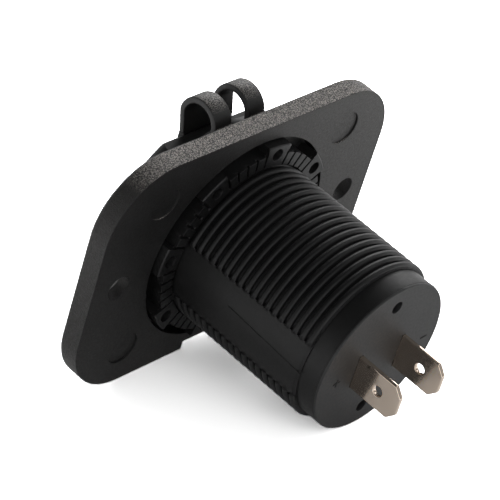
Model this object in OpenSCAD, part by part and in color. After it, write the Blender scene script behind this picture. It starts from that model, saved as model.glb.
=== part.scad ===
// Panel mounted twin-port USB charger socket for a car dashboard.
// Millimetres. +Z is up, the socket faces -Y and its barrel runs back along +Y.
// The origin is midway between the two screw holes, on the back face of the mounting panel.

/* [Panel] */
// Width of the mounting panel at its middle
panel_w = 62.6; // [58:0.2:80]
// Height of the mounting panel
panel_h = 43.4; // [42.8:0.2:56]
// Thickness of the mounting panel
panel_t = 4; // [3.6:0.1:5]
// Radius of the panel's corners
panel_corner_r = 12; // [6:0.5:15]
// Rounding of the panel's front edge
panel_edge_r = 0.8; // [0.4:0.1:1.5]
// Distance between the two screw holes
screw_spacing = 51.3; // [49:0.1:56]
// Diameter of a screw hole
screw_hole_d = 4.3; // [3:0.1:4.6]
// Diameter of the countersink on the front
screw_head_d = 7.6; // [6:0.1:8.4]
// Depth of the countersink
screw_head_depth = 1.9; // [1:0.1:2.6]
// Diameter of the round recess that takes the ring nut
recess_d = 37.8; // [37.2:0.1:40]
// Depth of the round recess
recess_depth = 2.2; // [1.4:0.1:2.4]
// Width of the notch in the bottom edge
notch_w = 10; // [6:0.5:14]
// Depth of the notch in the bottom edge
notch_depth = 1.6; // [1:0.1:2]
// Diameter of a round moulding mark on the back
mark_d = 6; // [4:0.5:7]
// Distance of a moulding mark from the upright centre line
mark_x = 20.3; // [19.5:0.1:22]
// Distance of a moulding mark from the level centre line
mark_y = 14.6; // [14:0.1:16]
// Depth of a moulding mark
mark_depth = 0.3; // [0.1:0.05:0.5]

/* [Barrel] */
// Diameter over the ribs of the barrel
barrel_d = 29; // [28:0.1:29.6]
// Length of the barrel from the panel's back to the rear cover
barrel_len = 31.6; // [30:0.1:36]
// Bore of the barrel
barrel_bore_d = 24.8; // [24.4:0.1:25.2]
// Distance from one rib to the next
rib_pitch = 1.5; // [1.2:0.05:2]
// Height of a rib above the groove beside it
rib_h = 0.65; // [0.5:0.05:0.8]
// Width of a rib
rib_w = 1.14; // [0.8:0.02:1.16]
// Number of smooth strips round the barrel
strip_count = 2; // [2:1:4]
// Angle that a smooth strip covers
strip_angle = 42; // [20:1:50]
// Angle of the first strip's middle
strip_phase = -1; // [-10:1:30]
// Depth of a smooth strip below the ribs
strip_drop = 0.3; // [0.1:0.05:0.5]
// Diameter of the smooth collar behind the ribs
collar_d = 27.3; // [26.8:0.1:27.6]
// Length of the smooth collar
collar_len = 3.45; // [2.4:0.05:4.4]

/* [Front flange] */
// Diameter of the front flange
flange_d = 36.4; // [35.6:0.1:37]
// Thickness of the front flange
flange_t = 2.6; // [2.2:0.1:4]
// Rounding of the flange's front edge
flange_edge_r = 0.9; // [0.4:0.1:1.2]
// Diameter of the mouth in the flange
mouth_d = 26.6; // [26.4:0.1:27]
// Depth of the mouth down to the face plate
mouth_depth = 2.9; // [2.7:0.1:3.4]
// Thickness of the face plate
face_t = 1.8; // [1.2:0.1:2.2]

/* [Ring nut] */
// Diameter over the nut's teeth
nut_d = 37; // [36.2:0.1:37.2]
// Diameter of the nut between its teeth
nut_body_d = 34; // [33:0.1:35]
// Number of teeth round the nut
nut_teeth = 8; // [6:1:10]
// Angle that a tooth covers
tooth_angle = 16.5; // [12:0.5:20]
// Angle of the first tooth's middle
tooth_phase = 8.7; // [0:0.1:30]
// How far the nut stands out of the panel's back
nut_proud = 1.3; // [1:0.1:2]
// Diameter of the small hole in each tooth
nut_hole_d = 2.2; // [1.6:0.1:2.4]
// Distance of the small holes from the nut's axis
nut_hole_r = 16.7; // [16.3:0.1:17]
// Depth of the small holes
nut_hole_depth = 2.4; // [1:0.1:2.6]
// Number of blocks in the rim between two teeth
nut_blocks = 4; // [2:1:6]
// Width of the slot beside a block
slot_w = 0.45; // [0.3:0.05:0.6]
// Depth of the slot beside a block
slot_depth = 0.5; // [0.2:0.05:0.8]

/* [Rear cover] */
// Thickness of the rear cover's rim
cover_t = 0.4; // [0.4:0.05:0.8]
// Thickness of the rear cover inside the barrel
cover_core_t = 1; // [0.8:0.1:1.4]
// Rounding of the rear cover's edge
cover_edge_r = 0.2; // [0.1:0.05:0.3]
// Depth of the groove at the rear cover's seam
seam_depth = 0.2; // [0.1:0.05:0.3]
// Diameter of a vent hole
vent_d = 2.2; // [1.4:0.1:2.6]
// Distance of a vent hole from the axis
vent_r = 10.1; // [9:0.1:10.4]
// Length of the spigot that enters the barrel
spigot_len = 2; // [1.5:0.1:3]
// Wall of the spigot
spigot_wall = 1; // [0.8:0.1:1.4]

/* [Terminals] */
// Width of a blade terminal
blade_w = 6.3; // [4.8:0.1:6.5]
// Thickness of a blade terminal
blade_t = 0.8; // [0.5:0.05:1]
// Distance between the two blades
blade_spacing = 9.9; // [9.2:0.1:12]
// Distance of the blades' middle below the axis
blade_drop = 0.7; // [0:0.1:1]
// Length of a blade behind the rear cover
blade_len = 9; // [7:0.1:10]
// Width of a blade at its tip
blade_tip_w = 3.2; // [2.6:0.1:4]
// Length of the slanted corners at the tip
blade_tip_len = 1.4; // [1:0.1:2]
// Diameter of the hole in a blade
blade_hole_d = 1.8; // [1.2:0.1:2.2]
// Distance of the hole from the tip
blade_hole_back = 4.2; // [3.4:0.1:4.8]
// Depth of the boss that grips a blade inside the cover
boss_depth = 1.6; // [1.2:0.1:1.9]
// How far a blade's full width runs on in front of its boss
shoulder_len = 1; // [0.5:0.1:1.5]

/* [Dust cap] */
// Diameter of the dust cap
cap_d = 36; // [35:0.1:36.8]
// Thickness of the dust cap at its rim
cap_t = 4; // [3.4:0.1:5]
// Rounding of the dust cap's front edge
cap_edge_r = 2.3; // [1:0.1:2.6]
// Thickness of the dust cap's front wall
cap_wall = 2.6; // [1.6:0.1:2.8]
// Diameter of the plug that enters the mouth
plug_d = 25.8; // [25.2:0.1:25.9]
// Length of the plug
plug_len = 2.5; // [1.5:0.1:2.6]
// Wall of the plug
plug_wall = 1.6; // [1.2:0.1:2.4]
// Height of the flat at the cap's top over its middle
cap_flat = 14.6; // [14.2:0.1:16]
// Diameter of the raised disc on the cap's front
pad_d = 25; // [20:0.5:25.4]
// Height of the raised disc
pad_h = 1.6; // [1:0.1:2]
// Width of the pull tab
tab_w = 9; // [7:0.5:12]
// Length of the pull tab beyond the rim
tab_len = 3.4; // [2:0.1:5]
// Thickness of the pull tab
tab_t = 2; // [1.4:0.1:2.6]

/* [Hinge straps] */
// Thickness of the rubber ring behind the flange
ring_t = 1.2; // [0.8:0.1:1.6]
// Width of a strap
strap_w = 3.4; // [2.5:0.1:4]
// Thickness of a strap
strap_t = 1.1; // [0.8:0.05:1.2]
// Distance between the two straps' middles
strap_spacing = 7.5; // [6:0.1:9]
// Outer radius of a strap's loop
loop_r = 3.85; // [3.5:0.05:4.2]
// Gap between a strap and the flange's rim
strap_gap = 0.2; // [0.1:0.05:0.4]
// How far the web between the straps climbs up the loop, as a share of the loop's radius
web_rise = 0.04; // [0.02:0.02:0.6]

/* [Ports] */
// Outer width of a port's shell
port_w = 13.1; // [12.9:0.1:13.4]
// Outer height of a port's shell
port_h = 5.7; // [5.6:0.1:6]
// Depth of a port's shell
port_depth = 14; // [12:0.5:15]
// Distance between the two ports' middles
port_spacing = 8; // [7.9:0.1:9]
// Thickness of the shell's sheet metal
sheet_t = 0.3; // [0.25:0.05:0.4]
// Width of a port's tongue
tongue_w = 11.1; // [10.6:0.1:11.4]
// Thickness of a port's tongue
tongue_t = 1.8; // [1.4:0.1:2]
// How far the tongue stays behind the port's mouth
tongue_inset = 0.9; // [0.6:0.1:1.4]
// Width of a contact
contact_w = 1; // [0.8:0.1:1.2]
// Thickness of a contact
contact_t = 0.2; // [0.15:0.05:0.3]

/* [Circuit] */
// Width of the circuit board
board_w = 23.2; // [22.6:0.1:23.6]
// Thickness of the circuit board
board_t = 1.6; // [1:0.1:1.6]
// Gap between the face plate and the circuit board
board_gap = 1.1; // [0.6:0.1:1.4]
// Diameter of the inductor's core
core_d = 9; // [7:0.1:9.6]
// Height of the inductor's core
core_h = 5; // [4:0.1:6]
// Diameter of the larger capacitor
can_d = 6.3; // [5:0.1:6.5]
// Height of the larger capacitor
can_h = 7.7; // [6:0.1:8.5]
// Gap between neighbouring components
part_gap = 1; // [0.6:0.1:1.4]
// Length of the slots that take the blades' tails
slot_len = 4.2; // [3:0.1:5]
// Width of the converter chip
chip_w = 4.9; // [4:0.1:6]
// Length of the converter chip without its legs
chip_len = 3.9; // [3:0.1:4.5]
// Height of the converter chip
chip_h = 1.5; // [1.2:0.1:2]
// Distance between the chip's legs
leg_pitch = 1.27; // [1:0.01:1.5]
// Length of the diode's body
diode_len = 4.6; // [4:0.1:5.2]
// Width of the diode's body
diode_w = 3.6; // [2.6:0.1:4]
// Height of the diode's body
diode_h = 2; // [1.6:0.1:2.4]
// Width of the lamp
lamp_w = 1.6; // [1.2:0.1:2]

/* [Fits] */
// Gap between two pieces that fit into each other
fit = 0.1; // [0.05:0.01:0.15]
// Gap between the closed dust cap and the flange
cap_gap = 0.15; // [0.1:0.05:0.3]
// Gap between the circuit board and the rear cover's spigot
spigot_gap = 0.2; // [0.1:0.05:0.3]

/* [Hidden] */
$fn = 96;

// Heights along the socket's axis, measured forwards from the panel's back face
flange_back = panel_t + ring_t;
flange_front = flange_back + flange_t;
face_front = flange_front - mouth_depth;
face_back = face_front - face_t;
cap_back = flange_front + cap_gap;
cap_front = cap_back + cap_t;
pad_front = cap_front + pad_h;
collar_start = -(barrel_len - collar_len);
seat = -barrel_len;
rear = seat - cover_t;
shoulder = seat + boss_depth + shoulder_len;
blade_tip = rear - blade_len;

// Radii round the socket's axis
barrel_r = barrel_d / 2;
root_r = barrel_r - rib_h;
bore_r = barrel_bore_d / 2;
strip_r = barrel_r - strip_drop;
face_r = mouth_d / 2 - fit;

// A smooth strip runs this many degrees on into the grooves, so that they end in a wall
strip_lap = 0.6;

// Ribs are counted forwards from the collar, as many as fit behind the floor of the nut recess
rib_start = recess_depth - fit;
rib_rear = collar_start + 0.15;
rib_count = floor((rib_start - 0.2 - rib_rear - rib_w) / rib_pitch) + 1;

// Centres of the panel's round corners
corner_x = panel_w / 2 - panel_corner_r;
corner_y = panel_h / 2 - panel_corner_r;

// Route of a strap, seen from the side: forwards along u, upwards along v
strap_under = flange_d / 2 + strap_gap;
loop_v = strap_under;
loop_u = flange_back + 0.35 + loop_r;
strap_end_v = cap_flat + 0.1;
strap_lean = (cap_front + 0.35) - (loop_u + loop_r);

// Circuit board and what stands on it
board_front = face_back - board_gap;
board_rear = seat + spigot_len + spigot_gap;
board_top = board_t / 2;
port_y = port_spacing / 2;
port_foot = port_y - port_h / 2 - board_top;
part_row = face_front - port_depth - part_gap - core_d / 2;
can_row = part_row - core_d / 2 - part_gap - can_d / 2;
slot_reach = board_rear + slot_len;
lamp_x = (port_w / 2 + bore_r) / 2 - 0.2;

// Colours as the photograph shows them, or as such pieces are
black_plastic = [0.06, 0.06, 0.065];
deep_plastic = [0.045, 0.045, 0.05];
black_rubber = [0.035, 0.035, 0.035];
plated = [0.72, 0.68, 0.62];
steel = [0.76, 0.77, 0.78];
board_green = [0.07, 0.3, 0.16];
copper = [0.72, 0.42, 0.2];
ferrite = [0.2, 0.2, 0.21];
white_plastic = [0.9, 0.9, 0.88];
gold = [0.85, 0.66, 0.28];
lamp_blue = [0.45, 0.65, 0.95];

// Turns a piece drawn along the socket's axis, front towards +Z, into the socket's own frame
module upright() {
  rotate([90, 0, 0]) children();
}

// Round solid between two heights
module disc(r, low, high) {
  translate([0, 0, low]) cylinder(r = r, h = high - low);
}

// Flat ring between two heights
module band(outer, inner, low, high) {
  difference() {
    disc(outer, low, high);
    disc(inner, low - 1, high + 1);
  }
}

// Box centred on x and y, between two heights
module bar(w, h, low, high) {
  translate([-w / 2, -h / 2, low]) cube([w, h, high - low]);
}

// Box centred on x, between two heights and two depths
module plate(w, low_y, high_y, low, high) {
  translate([-w / 2, low_y, low]) cube([w, high_y - low_y, high - low]);
}

// Half section of a round solid from an inner radius, with its outer front edge rounded
module rounded_section(inner, reach, low, high, edge_r) {
  translate([inner, low]) square([reach - inner, high - low - edge_r]);
  translate([inner, low]) square([reach - inner - edge_r, high - low]);
  translate([reach - edge_r, high - edge_r]) intersection() {
    circle(r = edge_r);
    square(edge_r + 1);
  }
}

// Half section of the panel out to a reach
module panel_section(reach) {
  rounded_section(0, reach, 0, panel_t, panel_edge_r);
}

// The panel is one rounded section carried round its outline: two crossed bands and four corners
module panel_blank() {
  rotate([90, 0, 90]) linear_extrude(2 * corner_x, center = true) {
    panel_section(panel_h / 2);
    mirror([1, 0]) panel_section(panel_h / 2);
  }
  rotate([90, 0, 0]) linear_extrude(2 * corner_y, center = true) {
    panel_section(panel_w / 2);
    mirror([1, 0]) panel_section(panel_w / 2);
  }
  for (x = [-corner_x, corner_x], y = [-corner_y, corner_y]) translate([x, y, 0])
    rotate_extrude() panel_section(panel_corner_r);
}

module screw_hole() {
  disc(screw_hole_d / 2, -1, panel_t + 1);
  translate([0, 0, panel_t - screw_head_depth])
    cylinder(r1 = screw_hole_d / 2, r2 = screw_head_d / 2, h = screw_head_depth);
  disc(screw_head_d / 2, panel_t, panel_t + 1);
}

module mounting_panel() {
  color(black_plastic) upright() difference() {
    panel_blank();
    disc(barrel_r + fit, -1, panel_t + 1);
    disc(recess_d / 2, -1, recess_depth);
    for (side = [-1, 1]) translate([side * screw_spacing / 2, 0, 0]) screw_hole();
    for (x = [-mark_x, mark_x], y = [-mark_y, mark_y]) translate([x, y, 0]) disc(mark_d / 2, -1, mark_depth);
    plate(notch_w, -panel_h, notch_depth - panel_h / 2, -1, panel_t + 1);
  }
}

// Wall of the barrel in one ribbed sector: flat root, round crests
module ribbed_section() {
  crest_r = rib_w / 2;
  for (i = [0 : rib_count - 1]) translate([0, rib_rear + crest_r + i * rib_pitch]) {
    translate([root_r - 0.4, -crest_r]) square([rib_h + 0.4 - crest_r, rib_w]);
    translate([barrel_r - crest_r, 0]) circle(r = crest_r);
  }
}

// Wall of the barrel in one smooth strip, with a soft shoulder down to the collar
module strip_section() {
  polygon([
    [root_r - 0.4, collar_start + 0.1], [root_r - 0.1, collar_start + 0.1], [strip_r, collar_start + 0.6],
    [strip_r, rib_start], [root_r - 0.4, rib_start]
  ]);
}

// Half section of the plain tube: collar with its bevelled end, barrel wall, neck and rounded flange
module tube_section() {
  difference() {
    union() {
      polygon([
        [bore_r, seat], [collar_d / 2 - seam_depth, seat], [collar_d / 2, seat + seam_depth],
        [collar_d / 2, collar_start], [root_r, collar_start], [root_r, rib_start], [barrel_r, rib_start],
        [barrel_r, flange_back + 0.5], [bore_r, flange_back + 0.5]
      ]);
      rounded_section(bore_r, flange_d / 2, flange_back, flange_front, flange_edge_r);
    }
    translate([0, face_back]) square([mouth_d / 2, flange_front]);
  }
}

// Guide rails that hold the edges of the circuit board
module board_rails() {
  rail_x = board_w / 2 - 0.9;
  for (side = [-1, 1], up = [0, 1]) mirror([0, up, 0]) intersection() {
    translate([side > 0 ? rail_x : -bore_r - 1, board_top + fit, board_rear])
      cube([bore_r + 1 - rail_x, 1, board_front - board_rear - 1]);
    disc(bore_r + 0.3, board_rear - 1, board_front);
  }
}

module socket_body() {
  sector = 360 / strip_count;
  color(black_plastic) upright() {
    rotate_extrude() tube_section();
    board_rails();
    for (i = [0 : strip_count - 1]) rotate([0, 0, strip_phase + i * sector]) {
      rotate([0, 0, -strip_angle / 2 - strip_lap]) rotate_extrude(angle = strip_angle + 2 * strip_lap)
        strip_section();
      rotate([0, 0, strip_angle / 2]) rotate_extrude(angle = sector - strip_angle) ribbed_section();
    }
  }
}

// Half section of a tooth, with its outer corners bevelled
module tooth_section() {
  reach = nut_d / 2;
  polygon([
    [barrel_r + 1, -nut_proud], [reach - 0.2, -nut_proud], [reach, 0.2 - nut_proud], [reach, recess_depth - 0.4],
    [reach - 0.4, recess_depth], [barrel_r + 1, recess_depth]
  ]);
}

// What is cut out of the nut's rear face from one tooth to the next: a hole and the slots between the blocks
module tooth_cuts() {
  flank = tooth_angle / 2 + 0.4;
  step = (360 / nut_teeth - 2 * flank) / nut_blocks;
  translate([nut_hole_r, 0, 0]) disc(nut_hole_d / 2, -nut_proud - 1, nut_hole_depth - nut_proud);
  for (i = [0 : nut_blocks]) rotate([0, 0, flank + i * step])
    translate([barrel_r - 0.5, -slot_w / 2, -nut_proud - 1])
      cube([nut_body_d / 2 - barrel_r + 1, slot_w, slot_depth + 1]);
}

module retaining_nut() {
  color(deep_plastic) upright() difference() {
    union() {
      disc(nut_body_d / 2, -nut_proud, recess_depth);
      for (i = [0 : nut_teeth - 1]) rotate([0, 0, tooth_phase + i * 360 / nut_teeth - tooth_angle / 2])
        rotate_extrude(angle = tooth_angle) tooth_section();
    }
    disc(barrel_r + fit, -nut_proud - 1, recess_depth + 1);
    for (i = [0 : nut_teeth - 1]) rotate([0, 0, tooth_phase + i * 360 / nut_teeth]) tooth_cuts();
  }
}

// Half section of the rear cover: a thin rim on the barrel's end, a thicker core inside its bore
module cover_section() {
  mirror([0, 1]) rounded_section(0, collar_d / 2, -seat, -rear, cover_edge_r);
  translate([0, seat - cover_t / 2]) square([bore_r - fit, cover_core_t]);
}

module rear_cover() {
  color(black_plastic) upright() difference() {
    union() {
      rotate_extrude() cover_section();
      band(bore_r - fit, bore_r - fit - spigot_wall, seat - cover_t / 2, seat + spigot_len);
      for (side = [-1, 1]) translate([side * blade_spacing / 2, -blade_drop, 0])
        bar(blade_t + 2.4, blade_w + 2.4, seat - cover_t / 2, seat + boss_depth);
    }
    for (side = [-1, 1]) {
      translate([side * blade_spacing / 2, -blade_drop, 0])
        bar(blade_t + fit, blade_w + fit, rear - 1, seat + boss_depth + 1);
      translate([0, side * vent_r, 0]) disc(vent_d / 2, rear - 1, seat + spigot_len + 1);
    }
  }
}

// Flat outline of a blade, from its narrow tail in the board to its chamfered tip
module blade_outline() {
  polygon([
    [-blade_tip_w / 2, blade_tip], [blade_tip_w / 2, blade_tip], [blade_w / 2, blade_tip + blade_tip_len],
    [blade_w / 2, shoulder], [blade_w / 4, shoulder + 1.2], [blade_w / 4, slot_reach],
    [-blade_w / 4, slot_reach], [-blade_w / 4, shoulder + 1.2], [-blade_w / 2, shoulder],
    [-blade_w / 2, blade_tip + blade_tip_len]
  ]);
}

module terminal(side) {
  color(plated) upright() translate([side * blade_spacing / 2, -blade_drop, 0]) difference() {
    translate([-blade_t / 2, 0, 0]) rotate([90, 0, 90]) linear_extrude(blade_t) blade_outline();
    translate([0, 0, blade_tip + blade_hole_back]) rotate([0, 90, 0])
      cylinder(r = blade_hole_d / 2, h = blade_t + 2, center = true);
  }
}

module terminal_positive() {
  terminal(1);
}

module terminal_negative() {
  terminal(-1);
}

// Rubber ring clamped between the flange and the panel, with a lug for each strap
module hinge_ring() {
  color(black_rubber) upright() {
    difference() {
      union() {
        disc(flange_d / 2, panel_t, flange_back);
        for (side = [-1, 1]) translate([side * strap_spacing / 2, 0, 0])
          plate(strap_w, barrel_r + 1, strap_under + strap_t, panel_t, flange_back);
      }
      disc(barrel_r + fit, panel_t - 1, flange_back + 1);
    }
  }
}

// Turns an outline drawn forwards and upwards into one drawn upwards and forwards
module side_view() {
  mirror([1, -1]) children();
}

// Side view of a strap: its foot on the ring's lug, the half loop and the front leg down to the cap's root
module strap_outline() {
  front_in = loop_u + loop_r - strap_t;
  front_out = loop_u + loop_r;
  translate([flange_back, strap_under]) square([loop_u - loop_r + strap_t / 2 - flange_back, strap_t]);
  translate([loop_u, loop_v]) difference() {
    intersection() {
      circle(r = loop_r);
      translate([-2 * loop_r, 0]) square([4 * loop_r, 2 * loop_r]);
    }
    circle(r = loop_r - strap_t);
  }
  polygon([
    [front_in, loop_v], [front_in + 0.3, loop_v + 0.5], [front_out - 0.3, loop_v + 0.5], [front_out, loop_v],
    [front_out + strap_lean, strap_end_v], [front_in + strap_lean, strap_end_v]
  ]);
}

// Side view of the slot that parts the straps: over the rear and the top, down to the web in front
module slot_outline() {
  web_top = loop_v + loop_r * web_rise;
  polygon([
    [flange_back - 1, strap_under - 1], [loop_u, strap_under - 1], [loop_u, web_top],
    [loop_u + 2 * loop_r, web_top], [loop_u + 2 * loop_r, loop_v + 2 * loop_r],
    [flange_back - 1, loop_v + 2 * loop_r]
  ]);
}

module hinge_straps() {
  color(black_rubber) upright() rotate([90, 0, 90]) difference() {
    linear_extrude(strap_spacing + strap_w, center = true) side_view() strap_outline();
    linear_extrude(strap_spacing - strap_w, center = true) side_view() slot_outline();
  }
}

// Half section of the dust cap: rounded rim, hollow plug, raised disc on the front
module cap_section() {
  plug_r = plug_d / 2;
  hollow = cap_front - cap_wall;
  difference() {
    union() {
      rounded_section(0, cap_d / 2, cap_back, cap_front, cap_edge_r);
      polygon([
        [0, cap_back + 1], [plug_r, cap_back + 1], [plug_r, cap_back - plug_len + 0.6],
        [plug_r - 0.6, cap_back - plug_len], [0, cap_back - plug_len]
      ]);
      polygon([[0, cap_front - 1], [pad_d / 2, cap_front - 1], [pad_d / 2, pad_front - 0.5],
        [pad_d / 2 - 0.5, pad_front], [0, pad_front]]);
    }
    translate([-1, cap_back - plug_len - 1]) square([plug_r - plug_wall + 1, hollow - cap_back + plug_len + 1]);
  }
}

// What is cut off at the cap's top: a flat with a bevel at its front
module cap_top_cut() {
  rotate([90, 0, 90]) linear_extrude(cap_d, center = true) polygon([
    [cap_flat, cap_back - 1], [cap_flat, cap_front - 1], [cap_flat - 2, cap_front + 1],
    [cap_d, cap_front + 1], [cap_d, cap_back - 1]
  ]);
}

// Root of the straps, where their web runs into the cap's front
module strap_root() {
  root_top = strap_end_v - 0.05;
  front = loop_u + loop_r + strap_lean;
  rotate([90, 0, 90]) linear_extrude(strap_spacing + strap_w, center = true) polygon([
    [root_top, front], [root_top - 3, front], [root_top - 3, cap_front - 0.5],
    [root_top - 1.2, cap_front - 0.5], [root_top, front - strap_t]
  ]);
}

// Pull tab with three grip ribs
module pull_tab() {
  reach = cap_d / 2 + tab_len;
  difference() {
    union() {
      plate(tab_w, -reach + tab_w / 4, -cap_d / 2 + 2, cap_back + 0.3, cap_back + 0.3 + tab_t);
      for (side = [-1, 1]) translate([side * tab_w / 4, -reach + tab_w / 4, 0])
        disc(tab_w / 4, cap_back + 0.3, cap_back + 0.3 + tab_t);
      plate(tab_w / 2, -reach, -reach + tab_w / 4, cap_back + 0.3, cap_back + 0.3 + tab_t);
    }
    for (i = [0 : 2]) translate([0, -reach + 0.8 + i * 0.9, cap_back + 0.3 + tab_t]) rotate([0, 90, 0])
      cylinder(r = 0.25, h = tab_w + 1, center = true);
  }
}

module dust_cap() {
  color(black_rubber) upright() {
    difference() {
      rotate_extrude() cap_section();
      cap_top_cut();
    }
    strap_root();
    pull_tab();
  }
}

module port_face() {
  color(deep_plastic) upright() difference() {
    disc(face_r, face_back, face_front);
    for (side = [-1, 1]) translate([0, side * port_y, 0])
      bar(port_w + 2 * fit, port_h + 2 * fit, face_back - 1, face_front + 1);
    translate([lamp_x, 0, 0]) disc(1 + fit, face_back - 1, face_front + 1);
  }
}

// Draws a port for the upper side of the board, or its mirror image for the lower side
module port_side(side) {
  upright() mirror([0, side > 0 ? 0 : 1, 0]) translate([0, port_y, 0]) children();
}

module usb_shell(side) {
  inner_w = port_w - 2 * sheet_t;
  inner_h = port_h - 2 * sheet_t;
  back = face_front - port_depth;
  color(steel) port_side(side) {
    difference() {
      bar(port_w, port_h, back, face_front);
      bar(inner_w, inner_h, back - 1, face_front + 1);
    }
    for (x = [-1, 1], depth = [4, port_depth - 1.5])
      translate([x * (port_w - sheet_t) / 2, -port_h / 2 - port_foot / 2, face_front - depth])
        cube([sheet_t, port_foot, 1.6], center = true);
  }
}

module usb_shell_upper() {
  usb_shell(1);
}

module usb_shell_lower() {
  usb_shell(-1);
}

// Places of the four contacts across a port
contact_x = [-3.5, -1, 1, 3.5];

// One contact: a strip on the tongue, with a leg down to the board
module contact() {
  leg_end = -port_y + board_top;
  back = face_front - port_depth - 0.5;
  strip_low = -contact_t;
  plate(contact_w, strip_low, 0, back, face_front - tongue_inset - 0.6);
  plate(contact_w, leg_end, 0, back, back + contact_t);
}

module usb_contacts(side) {
  color(gold) port_side(side) for (x = contact_x) translate([x, 0, 0]) contact();
}

module usb_contacts_upper() {
  usb_contacts(1);
}

module usb_contacts_lower() {
  usb_contacts(-1);
}

// Insulator: a block that fills the back of the shell, with the tongue standing out of it
module usb_tongue(side) {
  inner_w = port_w - 2 * sheet_t;
  inner_h = port_h - 2 * sheet_t;
  back = face_front - port_depth;
  color(white_plastic) port_side(side) difference() {
    union() {
      bar(inner_w, inner_h, back, back + 4.5);
      plate(tongue_w, 0, tongue_t, back + 4, face_front - tongue_inset);
    }
    for (x = contact_x) translate([x, 0, 0]) contact();
  }
}

module usb_tongue_upper() {
  usb_tongue(1);
}

module usb_tongue_lower() {
  usb_tongue(-1);
}

module circuit_board() {
  color(board_green) upright() difference() {
    bar(board_w, board_t, board_rear, board_front);
    for (side = [-1, 1]) translate([side * blade_spacing / 2, 0, 0])
      bar(blade_t + fit, board_t + 1, board_rear - 1, slot_reach + fit);
  }
}

// Turns a piece drawn standing on the board's upper face, z up, into the socket's axis frame
module on_board(side, x, depth) {
  upright() mirror([0, side > 0 ? 0 : 1, 0]) translate([x, board_top, depth]) rotate([-90, 0, 0]) children();
}

module inductor_core() {
  color(ferrite) on_board(1, 0, part_row) {
    cylinder(r = core_d / 2, h = core_h * 0.22);
    cylinder(r = core_d * 0.28, h = core_h);
    translate([0, 0, core_h * 0.78]) cylinder(r = core_d / 2, h = core_h * 0.22);
  }
}

module inductor_coil() {
  color(copper) on_board(1, 0, part_row) translate([0, 0, core_h * 0.22]) difference() {
    cylinder(r = core_d * 0.45, h = core_h * 0.56);
    translate([0, 0, -1]) cylinder(r = core_d * 0.28, h = core_h * 0.56 + 2);
  }
}

// Electrolytic capacitor: square base, can with a crimp groove and a bevelled top
module capacitor(d, h) {
  r = d / 2;
  translate([-r, -r, 0]) cube([d, d, 0.8]);
  translate([0, 0, 0.8]) rotate_extrude() polygon([
    [0, 0], [r - 0.2, 0], [r - 0.2, 0.7], [r - 0.5, 1], [r - 0.2, 1.3], [r - 0.2, h - 1.2], [r - 0.6, h - 0.8],
    [0, h - 0.8]
  ]);
}

module input_capacitor() {
  color(steel) on_board(1, 0, can_row) capacitor(can_d, can_h);
}

module output_capacitor() {
  color(steel) on_board(-1, 0, can_row) capacitor(can_d * 0.8, can_h * 0.8);
}

module converter_chip() {
  color(deep_plastic) on_board(-1, 0, part_row) {
    leg_w = leg_pitch / 3;
    translate([-chip_w / 2, -chip_len / 2, leg_w / 3]) cube([chip_w, chip_len, chip_h]);
    for (i = [0 : 3]) translate([(i - 1.5) * leg_pitch, 0, leg_w / 2])
      cube([leg_w, chip_len + chip_h * 1.4, leg_w], center = true);
  }
}

module rectifier_diode() {
  color(ferrite) on_board(-1, chip_w / 2 + chip_h + part_gap + diode_w / 2, part_row) {
    translate([-diode_w / 2, -diode_len / 2, diode_h / 10]) cube([diode_w, diode_len, diode_h]);
    translate([-diode_w / 3, -diode_len * 0.6, 0]) cube([diode_w / 1.5, diode_len * 1.2, diode_h / 4]);
  }
}

module status_led() {
  color(lamp_blue) on_board(1, lamp_x, board_front - lamp_w / 2 - fit)
    translate([-lamp_w / 2, -lamp_w / 2, 0]) cube([lamp_w, lamp_w, lamp_w / 2]);
}

// Clear pin that carries the lamp's light through the face plate
module light_guide() {
  color(lamp_blue) upright() {
    translate([lamp_x, 0, 0]) disc(1, board_front + fit, face_front);
  }
}

mounting_panel();
socket_body();
retaining_nut();
rear_cover();
terminal_positive();
terminal_negative();
hinge_ring();
hinge_straps();
dust_cap();
port_face();
usb_shell_upper();
usb_shell_lower();
usb_tongue_upper();
usb_tongue_lower();
usb_contacts_upper();
usb_contacts_lower();
circuit_board();
inductor_core();
inductor_coil();
input_capacitor();
output_capacitor();
converter_chip();
rectifier_diode();
status_led();
light_guide();
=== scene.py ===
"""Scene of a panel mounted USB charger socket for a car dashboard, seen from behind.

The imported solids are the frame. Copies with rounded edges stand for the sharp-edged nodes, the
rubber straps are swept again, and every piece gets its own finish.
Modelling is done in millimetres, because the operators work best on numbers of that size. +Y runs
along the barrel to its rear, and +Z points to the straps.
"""

import functools
import logging
import math
from dataclasses import dataclass
from enum import Enum

import bmesh
import bpy
from mathutils import Matrix, Vector


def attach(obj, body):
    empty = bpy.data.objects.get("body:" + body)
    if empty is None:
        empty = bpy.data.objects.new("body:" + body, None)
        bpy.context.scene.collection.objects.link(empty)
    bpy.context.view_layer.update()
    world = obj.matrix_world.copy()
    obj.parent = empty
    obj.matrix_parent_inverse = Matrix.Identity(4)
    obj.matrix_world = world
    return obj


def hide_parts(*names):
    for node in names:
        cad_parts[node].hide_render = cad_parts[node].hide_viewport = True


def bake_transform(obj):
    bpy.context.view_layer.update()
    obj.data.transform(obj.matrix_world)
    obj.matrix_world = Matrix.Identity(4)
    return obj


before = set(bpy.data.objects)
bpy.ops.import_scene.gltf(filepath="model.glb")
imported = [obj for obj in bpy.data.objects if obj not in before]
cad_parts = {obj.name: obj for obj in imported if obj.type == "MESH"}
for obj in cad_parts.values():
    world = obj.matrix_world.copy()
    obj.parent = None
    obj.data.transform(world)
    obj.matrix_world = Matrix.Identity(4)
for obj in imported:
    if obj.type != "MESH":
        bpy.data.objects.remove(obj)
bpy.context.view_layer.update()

LOG = logging.getLogger("usb_socket")
MM = 0.001
Colour = tuple[float, float, float]
Span = tuple[float, float]
Output = bpy.types.NodeSocket

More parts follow.
